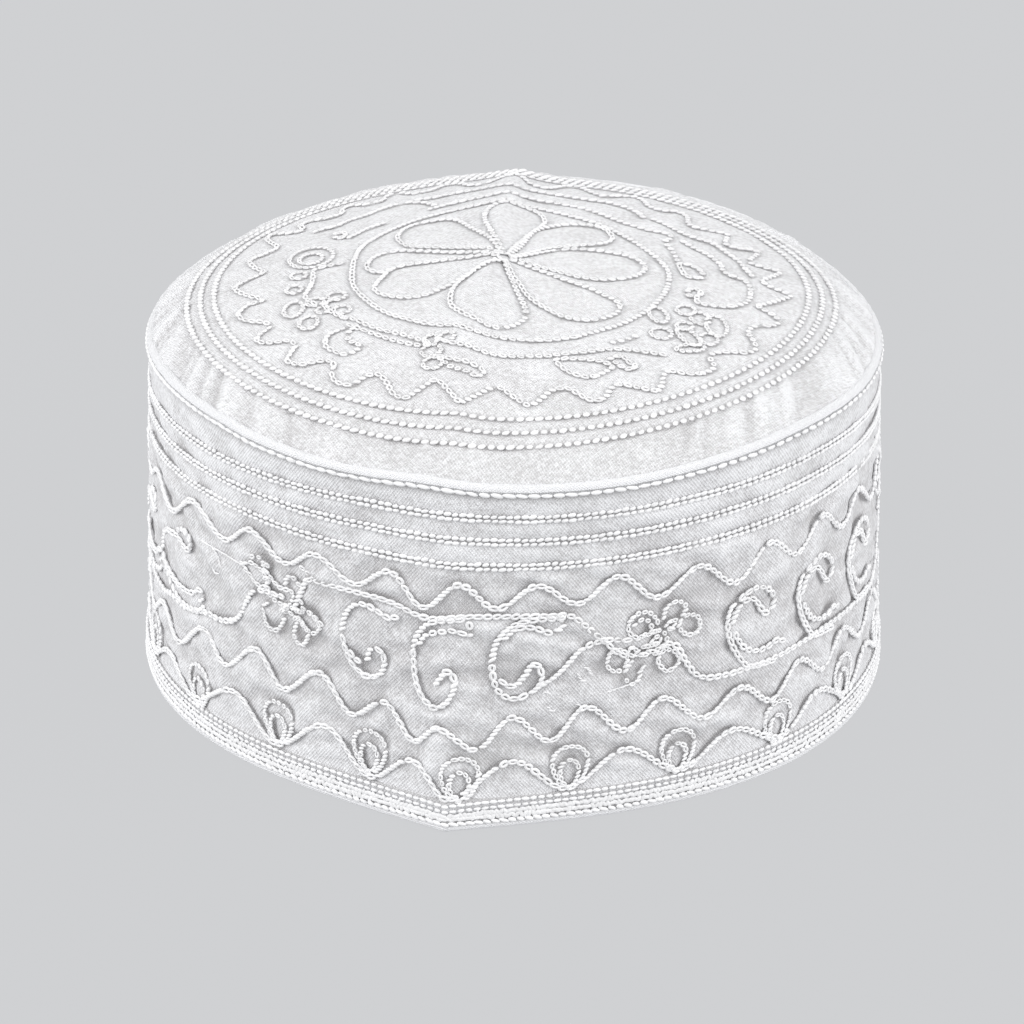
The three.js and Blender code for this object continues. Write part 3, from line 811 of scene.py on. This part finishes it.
def discChart(azimuth, edge, rings):
    # points from a pole on the crease out to the seam, ring by ring
    poleX = form["ridgeX"]
    shares = np.linspace(1 / rings, 1, rings)[:, None]
    x = poleX + (edge * np.cos(azimuth) - poleX) * shares
    y = edge * np.sin(azimuth) * shares
    return np.append(poleX, x), np.append(0.0, y)


def makeCrown():
    look, spokes, coarse = crownPanel, crownPanel["spokes"], crownPanel["coarse"]
    azimuth = np.linspace(-math.pi, math.pi, spokes, endpoint=False) + math.radians(form["frontCrease"])
    edge = planRadius(azimuth, form["seamHeight"]) + look["edgeOutset"]
    x, y = discChart(azimuth, edge, look["rings"])
    top, out = crownPoint(x, y), crownNormal(x, y)
    away = awayFromStitches(top)
    sink = look["groove"] * np.exp(-(away / look["grooveReach"]) ** 2)
    radius, turn = np.hypot(x - ringMiddle[0], y - ringMiddle[1]), np.arctan2(y, x)
    sides = np.abs(np.cos(turn))
    swept = turn + look["sweep"] * (radius - look["sweepFrom"]) * np.cos(turn)
    along, across = look["rippleRound"] * np.cos(swept), look["rippleRound"] * np.sin(swept)
    ripple = softNoise(np.stack([along, across, radius * look["rippleOut"]], -1), look["rippleSize"], 3)
    ripple = ripple * np.interp(radius, *zip(*look["margin"]))
    dimple = sum(share * softNoise(top, size, seed) for share, size, seed in look["lumps"])
    rise = look["ripple"] * ripple * (1 + look["rippleAtSides"] * sides) + look["dimple"] * dimple
    top = top + out * (rise - sink)[:, None]
    fold = np.interp(y, look["foldY"], look["foldX"])
    fading = np.clip((look["foldEnd"] - y) / look["foldFade"], 0, 1)
    top[:, 2] += look["foldHeight"] * np.exp(-((x - fold) / look["foldWidth"]) ** 2) * fading
    # the margin comes up to meet the welt, and falls away more at the crease
    inset = planRadius(turn, form["seamHeight"]) - np.hypot(x, y)
    near = np.clip(1 - (inset + look["edgeOutset"]) / look["lipReach"], 0, 1)
    top[:, 2] += (look["lip"] + weltRise(turn)) * near ** 2 * (3 - 2 * near)
    under = crownPoint(*discChart(azimuth[::coarse], edge[::coarse], look["innerRings"]))
    under[:, 2] -= look["thickness"]
    base, count = len(top), spokes // coarse
    faces = [(0, 1 + i, 1 + (i + 1) % spokes) for i in range(spokes)]
    faces += gridFaces(1, look["rings"], spokes, flipped=True)
    faces += [(base, base + 1 + (i + 1) % count, base + 1 + i) for i in range(count)]
    faces += gridFaces(base + 1, look["innerRings"], count)
    faces += rimFaces(base - spokes, spokes, base + len(under) - count, coarse, flipped=True)
    points = np.concatenate([top, under])
    made = meshObject("crownCloth", points, faces)
    # painted shade towards the front, and painted light and shade that follow the folds and lumps
    tones = look["tone"] - look["frontShade"] * np.clip((look["shadeFrom"] - y) / look["shadeReach"], 0, 1)
    tones = tones + look["rippleLightAndShade"] * ripple * sides ** 2 + look["dimpleLightAndShade"] * dimple
    # the cloth is painted darker close to the stitches: painted shade
    storeCloth(made, points[:, :2], np.exp(-(away / look["stitchShadeReach"]) ** 2), tones, look["underTone"])
    return made


crown = finishPiece(makeCrown(), crownCloth, ["crown_panel"])
print("crown made")

# the side band: outer face with puckers, plain inner face
sideBand = {
    "columns": 608, "rows": 90, "coarse": 4, "innerRows": 10, "low": 7.0, "high": 90.9, "thickness": 2.0,
    # the groove along the stitches, then the reach of the painted shade beside them, and of the painted shade
    # in a line just under the welt
    "groove": 0.5, "grooveReach": 1.6, "stitchShadeReach": 0.85, "weltShadeAt": 89.7, "weltShadeReach": 0.6,
    # the edge that follows the welt, and the puckers, by height; they lean, and lie calmer between the rows
    "followFrom": 80, "middle": [(8, 0), (16, 1), (85, 1), (90, 0)], "calmFrom": 72, "calm": 0.45,
    "puckerRound": 36, "puckerLean": 0.0086, "puckerWave": 6, "puckerWaves": 5,
    "lumps": [(1.2, 5.0, 2), (0.8, 4.0, 9)],  # share, size and seed of the leaning and the level ones
    # the band's tone by height: painted greyer through the middle where less light falls, and lighter at the
    # top and the hem, as painted shade; the puckers are painted lighter on their rises and darker in their
    # hollows, as painted light and shade
    "tones": [(0, 0.72), (10, 0.64), (20, 0.48), (45, 0.38), (62, 0.42), (70, 0.5), (74, 0.66), (91, 0.74)],
    "dimpleLightAndShade": 0.38, "innerTone": 0.4,
}


def makeBand():
    look, columns, coarse = sideBand, sideBand["columns"], sideBand["coarse"]
    low, high = look["low"], look["high"]
    arc = np.linspace(-girth / 2, girth / 2, columns, endpoint=False)
    arcs, levels = (side.ravel() for side in np.meshgrid(arc, np.linspace(low, high, look["rows"])))
    azimuth = azimuthAt(arcs)
    following = np.clip((levels - look["followFrom"]) / (high - look["followFrom"]), 0, 1)
    raised = levels + weltRise(azimuth) * following
    face, out = wallPoint(azimuth, raised), wallNormal(azimuth, raised)
    away = awayFromStitches(face)
    sink = look["groove"] * np.exp(-(away / look["grooveReach"]) ** 2)
    turned = azimuth + look["puckerLean"] * levels
    waving = levels + look["puckerWave"] * np.sin(look["puckerWaves"] * azimuth)
    leaning = np.stack([np.cos(turned) * look["puckerRound"], np.sin(turned) * look["puckerRound"], waving], 1)
    dimple = sum(share * softNoise(points, size, seed)
                 for points, (share, size, seed) in zip((leaning, face), look["lumps"]))
    dimple = dimple * np.interp(levels, *zip(*look["middle"]))
    calm = np.where(levels > look["calmFrom"], look["calm"], 1.0)
    face = face + out * (calm * dimple - sink)[:, None]
    innerArc, innerLevel = (side.ravel() for side in np.meshgrid(
        arc[::coarse], np.linspace(low, high, look["innerRows"])))
    inner = wallPoint(azimuthAt(innerArc), innerLevel, -look["thickness"])
    base, count = len(face), columns // coarse
    faces = gridFaces(0, look["rows"], columns) + gridFaces(base, look["innerRows"], count, flipped=True)
    faces += rimFaces(base - columns, columns, base + len(inner) - count, coarse)
    faces += rimFaces(0, columns, base, coarse, flipped=True)
    made = meshObject("bandCloth", np.concatenate([face, inner]), faces)
    chart = np.stack([np.append(arcs, innerArc), np.append(levels, innerLevel)], -1)
    # painted shade close to the stitches, and just under the welt
    weltShade = np.exp(-((levels - look["weltShadeAt"]) / look["weltShadeReach"]) ** 2)
    stitchShade = np.maximum(np.exp(-(away / look["stitchShadeReach"]) ** 2), weltShade)
    # painted shade by height, and painted light and shade on the puckers
    tones = np.interp(levels, *zip(*look["tones"])) + look["dimpleLightAndShade"] * dimple
    storeCloth(made, chart, stitchShade, tones, look["innerTone"])
    return made


band = finishPiece(makeBand(), bandCloth, ["side_band"])
print("band made")


# rolls that run right round: the welt in the seam, and the turned hem
def sweptRing(name, section, columns, roughen, riseAt=lambda azimuth: 0 * azimuth):
    # section: outset and height, anticlockwise seen with outwards to the right
    arc = np.linspace(-girth / 2, girth / 2, columns, endpoint=False)
    azimuth = azimuthAt(arc)
    sides = len(section)
    points = np.stack([wallPoint(azimuth, height + riseAt(azimuth), outset) for outset, height in section], 1)
    middle = np.repeat(points.mean(1), sides, 0)
    points = points.reshape(-1, 3)
    points = points + unit(points - middle) * (roughen * softNoise(points, 3.0, 4))[:, None]
    faces = []
    for i in range(columns):
        j = (i + 1) % columns
        for k in range(sides):
            m = (k + 1) % sides
            faces.append((i * sides + k, j * sides + k, j * sides + m, i * sides + m))
    made = meshObject(name, points, faces)
    storeUv(made.data, np.stack([np.repeat(arc, sides), np.tile(np.arange(sides), columns)], -1))
    return made


weltRoll = {"radius": 1.4, "sunk": 0.85, "height": 91.45, "sides": 14, "columns": 640, "roughen": 0.18}
hemRoll = {
    "columns": 640, "roughen": 0.08,
    # outset, height, and how much painted shade the cloth takes there, between its rows of stitches
    "section": [
        (-2.3, 8.6, 0), (-2.4, 1.2, 0), (-2.1, 0.35, 0), (-1.4, 0.0, 0), (-0.6, 0.0, 0), (0.1, 0.15, 0),
        (0.62, 0.6, 0), (0.78, 1.1, 0), (0.66, 1.6, 0.2), (0.3, 1.95, 1.0), (0.25, 2.6, 1.0),
        (0.35, 4.5, 0.1), (0.3, 6.5, 0.6), (0.3, 8.0, 1.0), (-0.1, 8.6, 1.0)],
}
rollTone = 1.3
weltSection = [(-weltRoll["sunk"] + weltRoll["radius"] * math.cos(t),
                weltRoll["height"] + weltRoll["radius"] * math.sin(t))
               for t in np.linspace(0, 2 * math.pi, weltRoll["sides"], endpoint=False)]
hemSection = [row[:2] for row in hemRoll["section"]]
welt = sweptRing("weltRoll", weltSection, weltRoll["columns"], weltRoll["roughen"], weltRise)
hem = sweptRing("hemRoll", hemSection, hemRoll["columns"], hemRoll["roughen"])
# the welt takes no painted shade; the hem takes its section's painted shade between the rows
for made, shadeShare in ((welt, [0] * weltRoll["sides"]), (hem, [row[2] for row in hemRoll["section"]])):
    storeFloats(made.data, "stitchShade", np.tile(shadeShare, len(made.data.vertices) // len(shadeShare)))
    storeFloats(made.data, "tone", np.full(len(made.data.vertices), rollTone))
finishPiece(welt, rollCloth, ["crown_welt"])
finishPiece(hem, rollCloth, ["hem_roll"])
print("welt and hem made")


# stitches: Geometry Nodes lay thread along the charted lines
def linesObject(name, paths):
    points, edges = [], []
    for path in paths:
        base, count = len(points), len(path["at"])
        points += [tuple(point) for point in path["at"] * mm]
        edges += [(base + i, base + i + 1) for i in range(count - 1)]
        if path["closed"]:
            edges.append((base + count - 1, base))
    mesh = bpy.data.meshes.new(name)
    mesh.from_pydata(points, edges, [])
    outs, slants, opens = (np.concatenate([path[key] for path in paths]) for key in ("out", "slant", "open"))
    layer = mesh.attributes.new("clothOut", "FLOAT_VECTOR", "POINT")
    layer.data.foreach_set("vector", outs.astype(np.float32).ravel())
    storeFloats(mesh, "slant", slants)
    storeFloats(mesh, "openness", opens)
    return addObject(name, mesh)


class Tree:
    # a short way to write a node tree
    def __init__(self, name, inputs):
        self.tree = bpy.data.node_groups.new(name, "GeometryNodeTree")
        face = self.tree.interface
        face.new_socket("Lines", in_out="INPUT", socket_type="NodeSocketGeometry")
        for label, kind in inputs:
            face.new_socket(label, in_out="INPUT", socket_type=kind)
        face.new_socket("Stitches", in_out="OUTPUT", socket_type="NodeSocketGeometry")
        self.into = self.tree.nodes.new("NodeGroupInput")
        self.end = self.tree.nodes.new("NodeGroupOutput")

    def node(self, kind, inputs=None, **settings):
        made = addNode(self.tree, kind, **settings)
        for key, value in (inputs or {}).items():
            if hasattr(value, "is_output"):
                self.tree.links.new(value, made.inputs[key])
            else:
                made.inputs[key].default_value = value
        return made

    def geo(self, kind, inputs=None, **settings):
        return self.node("GeometryNode" + kind, inputs, **settings).outputs[0]

    def calc(self, operation, first, second):
        return self.node("ShaderNodeMath", {0: first, 1: second}, operation=operation).outputs[0]

    def vector(self, x, y, z):
        return self.node("ShaderNodeCombineXYZ", {0: x, 1: y, 2: z}).outputs[0]

    def named(self, name, kind="FLOAT"):
        return self.geo("InputNamedAttribute", {"Name": name}, data_type=kind)

    def resampled(self, curve, length):
        return self.geo("ResampleCurve", {"Curve": curve, "Length": length}, mode="LENGTH")


unitless = ("Tilt", "Loose Turn", "Loose Size", "Paleness")
inMillimetres = ("Pitch", "Length", "Width", "Height", "Row Gap", "Lift", "Bar Pitch", "Bar Length")
stitchInputs = [(label, "NodeSocketFloat") for label in inMillimetres + unitless]
stitchInputs += [("Seed", "NodeSocketInt"), ("Thread", "NodeSocketMaterial")]
# how finely thread is modelled, a bar's width for its pitch and height for a link's, and the spread of tones
threadShape = {"beadSides": 7, "beadRings": 5, "linkPoints": 10, "strandSides": 5, "barWidth": 0.76,
               "barHeight": 1.3, "toneSpread": 0.35}


def stitchTree(name, kind):
    # kind: "chain" lays looped links, and bars where the line climbs; "pair" and "single" lay beads
    t = Tree(name, stitchInputs)
    into = t.into.outputs
    curve = t.geo("MeshToCurve", {0: into["Lines"]})
    tangent = t.geo("InputTangent")
    out, slant, openness = t.named("clothOut", "FLOAT_VECTOR"), t.named("slant"), t.named("openness")
    along = t.node("FunctionNodeAlignRotationToVector", {"Vector": tangent}, axis="X").outputs[0]
    along = t.node("FunctionNodeAlignRotationToVector", {"Rotation": along, "Vector": out},
                   axis="Z", pivot_axis="X").outputs[0]

    def randomWithin(reach, offset):
        seed = t.calc("ADD", into["Seed"], float(offset))
        inputs = {2: -reach, 3: reach, "Seed": seed}
        return t.node("FunctionNodeRandomValue", inputs, data_type="FLOAT").outputs[1]

    loose = t.calc("MULTIPLY", randomWithin(1.0, 11), into["Loose Turn"])
    sizes = []
    for offset in (1, 2, 3):
        wobble = t.calc("MULTIPLY", randomWithin(1.0, offset), into["Loose Size"])
        sizes.append(t.calc("ADD", 1.0, wobble))
    scale = t.vector(*sizes)

    def bead(length, width, height):
        sides, rings, quarter = threadShape["beadSides"], threadShape["beadRings"], math.pi / 2
        ball = t.geo("MeshUVSphere", {"Segments": sides, "Rings": rings, "Radius": 0.5})
        lying = t.geo("Transform", {0: ball, "Scale": t.vector(width, height, length)})
        return t.geo("Transform", {0: lying, "Rotation": (quarter, 0, quarter)})

    def placed(shape, across=0.0):
        spot, tilt = t.vector(0.0, across, into["Lift"]), t.vector(0.0, into["Tilt"], 0.0)
        moved = t.geo("Transform", {0: shape, "Translation": spot, "Rotation": tilt})
        return t.geo("SetShadeSmooth", {0: moved})

    def chainLink():
        ring = t.geo("CurvePrimitiveCircle", {"Resolution": threadShape["linkPoints"], "Radius": 0.5})
        reach = t.vector(t.calc("SUBTRACT", into["Length"], into["Height"]),
                         t.calc("SUBTRACT", into["Width"], into["Height"]), 1.0)
        ring = t.geo("Transform", {0: ring, "Scale": reach})
        radius = t.calc("MULTIPLY", into["Height"], 0.5)
        strand = t.geo("CurvePrimitiveCircle", {"Resolution": threadShape["strandSides"], "Radius": radius})
        return placed(t.geo("CurveToMesh", {0: ring, 1: strand}))

    def laid(points, turn, chosen, shape):
        by = t.node("FunctionNodeEulerToRotation", {0: t.vector(0.0, 0.0, turn)}).outputs[0]
        facing = t.node("FunctionNodeRotateRotation", {"Rotation": along, "Rotate By": by},
                        rotation_space="LOCAL").outputs[0]
        put = t.geo("InstanceOnPoints", {"Points": points, "Selection": chosen, "Instance": shape,
                                         "Rotation": facing, "Scale": scale})
        tone = t.calc("ADD", randomWithin(threadShape["toneSpread"], 21), into["Paleness"])
        return t.geo("StoreNamedAttribute", {0: put, "Name": "tone", "Value": tone},
                     data_type="FLOAT", domain="INSTANCE")

    even = t.resampled(curve, into["Pitch"])
    isOpen = t.node("FunctionNodeCompare", {0: openness, 1: 0.5}, data_type="FLOAT",
                    operation="GREATER_THAN").outputs[0]
    slanted = t.calc("ADD", slant, loose)
    work = []
    if kind == "chain":
        work.append(laid(even, loose, isOpen, chainLink()))
        isClosed = t.node("FunctionNodeBooleanMath", {0: isOpen}, operation="NOT").outputs[0]
        bar = bead(into["Bar Length"], t.calc("MULTIPLY", into["Bar Pitch"], threadShape["barWidth"]),
                   t.calc("MULTIPLY", into["Height"], threadShape["barHeight"]))
        work.append(laid(t.resampled(curve, into["Bar Pitch"]), slanted, isClosed, placed(bar)))
    else:
        for sign in (1, -1) if kind == "pair" else (0,):
            across = t.calc("MULTIPLY", into["Row Gap"], 0.5 * sign)
            row = placed(bead(into["Length"], into["Width"], into["Height"]), across)
            work.append(laid(even, slanted, isOpen, row))
    joined = t.node("GeometryNodeJoinGeometry")
    for part in work:
        t.tree.links.new(part, joined.inputs[0])
    real = t.geo("RealizeInstances", {0: joined.outputs[0]})
    t.tree.links.new(t.geo("SetMaterial", {0: real, "Material": into["Thread"]}), t.end.inputs[0])
    return t.tree


def layStitches(name, paths, tree, look, seed):
    lines = linesObject(name + "Lines", paths)
    modifier = lines.modifiers.new("stitches", "NODES")
    modifier.node_group = tree
    values = {"Seed": seed, "Thread": thread}
    for key, value in look.items():
        values[key] = value if key in unitless else value * mm
    for item in tree.interface.items_tree:
        if item.in_out == "INPUT" and item.name in values:
            modifier[item.identifier] = values[item.name]
    graph = bpy.context.evaluated_depsgraph_get()
    graph.update()
    mesh = bpy.data.meshes.new_from_object(lines.evaluated_get(graph), preserve_all_data_layers=True,
                                           depsgraph=graph)
    bpy.data.objects.remove(lines)
    finishPiece(addObject(name, mesh), thread)
    print(name, len(mesh.polygons), "faces")


rowStitch = {"Pitch": 1.85, "Length": 1.9, "Width": 1.05, "Height": 0.85, "Row Gap": 1.25, "Lift": 0.1,
             "Tilt": 0.0, "Loose Turn": 0.12, "Loose Size": 0.14, "Paleness": 0.85}
# the crown's threads have a lower Paleness than the band's: painted shade that tempers the stronger light on
# the crown
ringStitch = {"Pitch": 2.3, "Length": 2.1, "Width": 1.45, "Height": 0.8, "Row Gap": 0.0, "Lift": 0.1,
              "Tilt": 0.12, "Loose Turn": 0.14, "Loose Size": 0.14, "Paleness": 0.5}
chainStitch = {"Pitch": 2.2, "Length": 2.9, "Width": 1.8, "Height": 0.76, "Lift": 0.25, "Tilt": 0.16,
               "Bar Pitch": 1.4, "Bar Length": 2.3, "Loose Turn": 0.12, "Loose Size": 0.16, "Paleness": 0.9}
crownStitch = {**chainStitch, "Length": 2.3, "Width": 1.6, "Height": 0.55, "Lift": 0.15, "Bar Pitch": 1.75,
               "Bar Length": 1.75, "Paleness": 0.5}
crownFineStitch = {**crownStitch, "Pitch": 1.8, "Length": 1.8, "Width": 1.25, "Height": 0.45,
                   "Bar Pitch": 1.35, "Bar Length": 1.35, "Loose Turn": 0.3}
fineStitch = {**chainStitch, "Pitch": 1.65, "Length": 1.95, "Width": 1.4, "Height": 0.56, "Bar Pitch": 1.2,
              "Bar Length": 1.8, "Loose Turn": 0.2, "Paleness": 0.8}
hemStitch = {**rowStitch, "Pitch": 2.0, "Length": 1.95, "Width": 0.95, "Row Gap": 0.0, "Lift": 0.0,
             "Loose Size": 0.15}
lowStitch = {**hemStitch, "Pitch": 2.1, "Length": 2.5, "Width": 1.2, "Loose Turn": 0.1, "Paleness": 1.1}
fillStitch = {**hemStitch, "Pitch": 1.0, "Length": 2.1, "Width": 1.25, "Height": 0.5, "Loose Turn": 1.3,
              "Paleness": 0.55}
weltStitch = {**hemStitch, "Pitch": 2.95, "Length": 3.15, "Width": 1.15, "Height": 1.05, "Tilt": 0.1,
              "Paleness": 0.9}
strayStitch = {**hemStitch, "Pitch": 1.1, "Length": 1.7, "Width": 0.4, "Height": 0.4, "Lift": 0.25}

chainTree = stitchTree("chainStitch", "chain")
pairTree = stitchTree("doubleRowStitch", "pair")
singleTree = stitchTree("singleStitch", "single")
strayPaths = [onBand(line) for line in strayThreads]
stitchWork = [  # piece, paths, tree, look, seed
    ("crownEdgeRings", crownRingPaths, singleTree, ringStitch, 3),
    ("crownFlower", petalPaths + [innerRingPath], chainTree, crownStitch, 5),
    ("crownZigzag", [zigzagPath], chainTree, crownStitch, 6),
    ("crownWreath", wreathPaths, chainTree, crownStitch, 7),
    ("crownClusters", crownClusterPaths, chainTree, crownFineStitch, 9),
    ("bandRows", bandRowPaths, pairTree, rowStitch, 11),
    ("bandWaves", wavePaths, chainTree, chainStitch, 13),
    ("bandVine", bandVinePaths, chainTree, chainStitch, 17),
    ("bandClusters", bandClusterPaths, chainTree, fineStitch, 18),
    ("bandLoops", bandLoopPaths, chainTree, fineStitch, 19),
    ("hemTopRows", [hemRowPaths["top"], hemRowPaths["second"]], singleTree, hemStitch, 23),
    ("hemLowRow", [hemRowPaths["low"]], singleTree, lowStitch, 29),
    ("hemFill", [hemRowPaths["fillHigh"], hemRowPaths["fillLow"]], singleTree, fillStitch, 31),
    ("weltStitches", [weltStitchPath], singleTree, weltStitch, 37),
    ("strayThreads", strayPaths, singleTree, strayStitch, 41),
]
for row in stitchWork:
    layStitches(*row)
print("stitches laid")

# the pale ground and soft studio light
studio = {
    "ground": (0.625, 0.632, 0.646), "groundReach": 9.0, "glow": 0.95, "sky": 0.59, "softness": 50,
    # where each sun shines from, and its strength
    "suns": [((-0.2, -0.6, 1.0), 0.6), ((-0.95, -0.25, 0.45), 1.4), ((0.95, -0.25, 0.45), 1.45)],
}
bpy.context.scene.view_settings.view_transform = "Standard"


def facingAlong(direction):
    return direction.to_track_quat("-Z", "Y").to_euler()


def makeStudio():
    mesh = bpy.data.meshes.new("ground")
    reach = studio["groundReach"]
    corners = [(-reach, -reach, 0), (reach, -reach, 0), (reach, reach, 0), (-reach, reach, 0)]
    mesh.from_pydata(corners, [], [(0, 1, 2, 3)])
    material, tree, shader = nodeMaterial("paleGround")
    # a pale ground that gives off part of its own light, so that the shade round the cap stays faint
    lit = 1 - studio["glow"]
    shader.inputs["Base Color"].default_value = (*(level * lit for level in studio["ground"]), 1)
    shader.inputs["Emission Color"].default_value = (*studio["ground"], 1)
    shader.inputs["Emission Strength"].default_value = studio["glow"]
    shader.inputs["Roughness"].default_value = 1.0
    shader.inputs["Specular IOR Level"].default_value = 0.0
    mesh.materials.append(material)
    addObject("ground", mesh)
    world = bpy.data.worlds.new("softRoom")
    world.use_nodes = True
    world.node_tree.nodes["Background"].inputs[0].default_value = (1, 1, 1, 1)
    world.node_tree.nodes["Background"].inputs[1].default_value = studio["sky"]
    bpy.context.scene.world = world
    for spot, strength in studio["suns"]:
        light = bpy.data.lights.new("softSun", "SUN")
        light.energy, light.angle = strength, math.radians(studio["softness"])
        addObject("softSun", light).rotation_euler = facingAlong(-Vector(spot))


makeStudio()

view = {"spot": (0.099567, -0.994974, 0.558150), "aim": (-0.000616, -0.000051, 0.036160), "lens": 151.666,
        "sensor": 36.0, "clipEnd": 60.0}
cameraData = bpy.data.cameras.new("camera")
cameraData.lens, cameraData.sensor_width, cameraData.clip_end = view["lens"], view["sensor"], view["clipEnd"]
camera = addObject("camera", cameraData)
camera.location = view["spot"]
camera.rotation_euler = facingAlong(Vector(view["aim"]) - Vector(view["spot"]))
bpy.context.scene.camera = camera

bpy.context.view_layer.update()
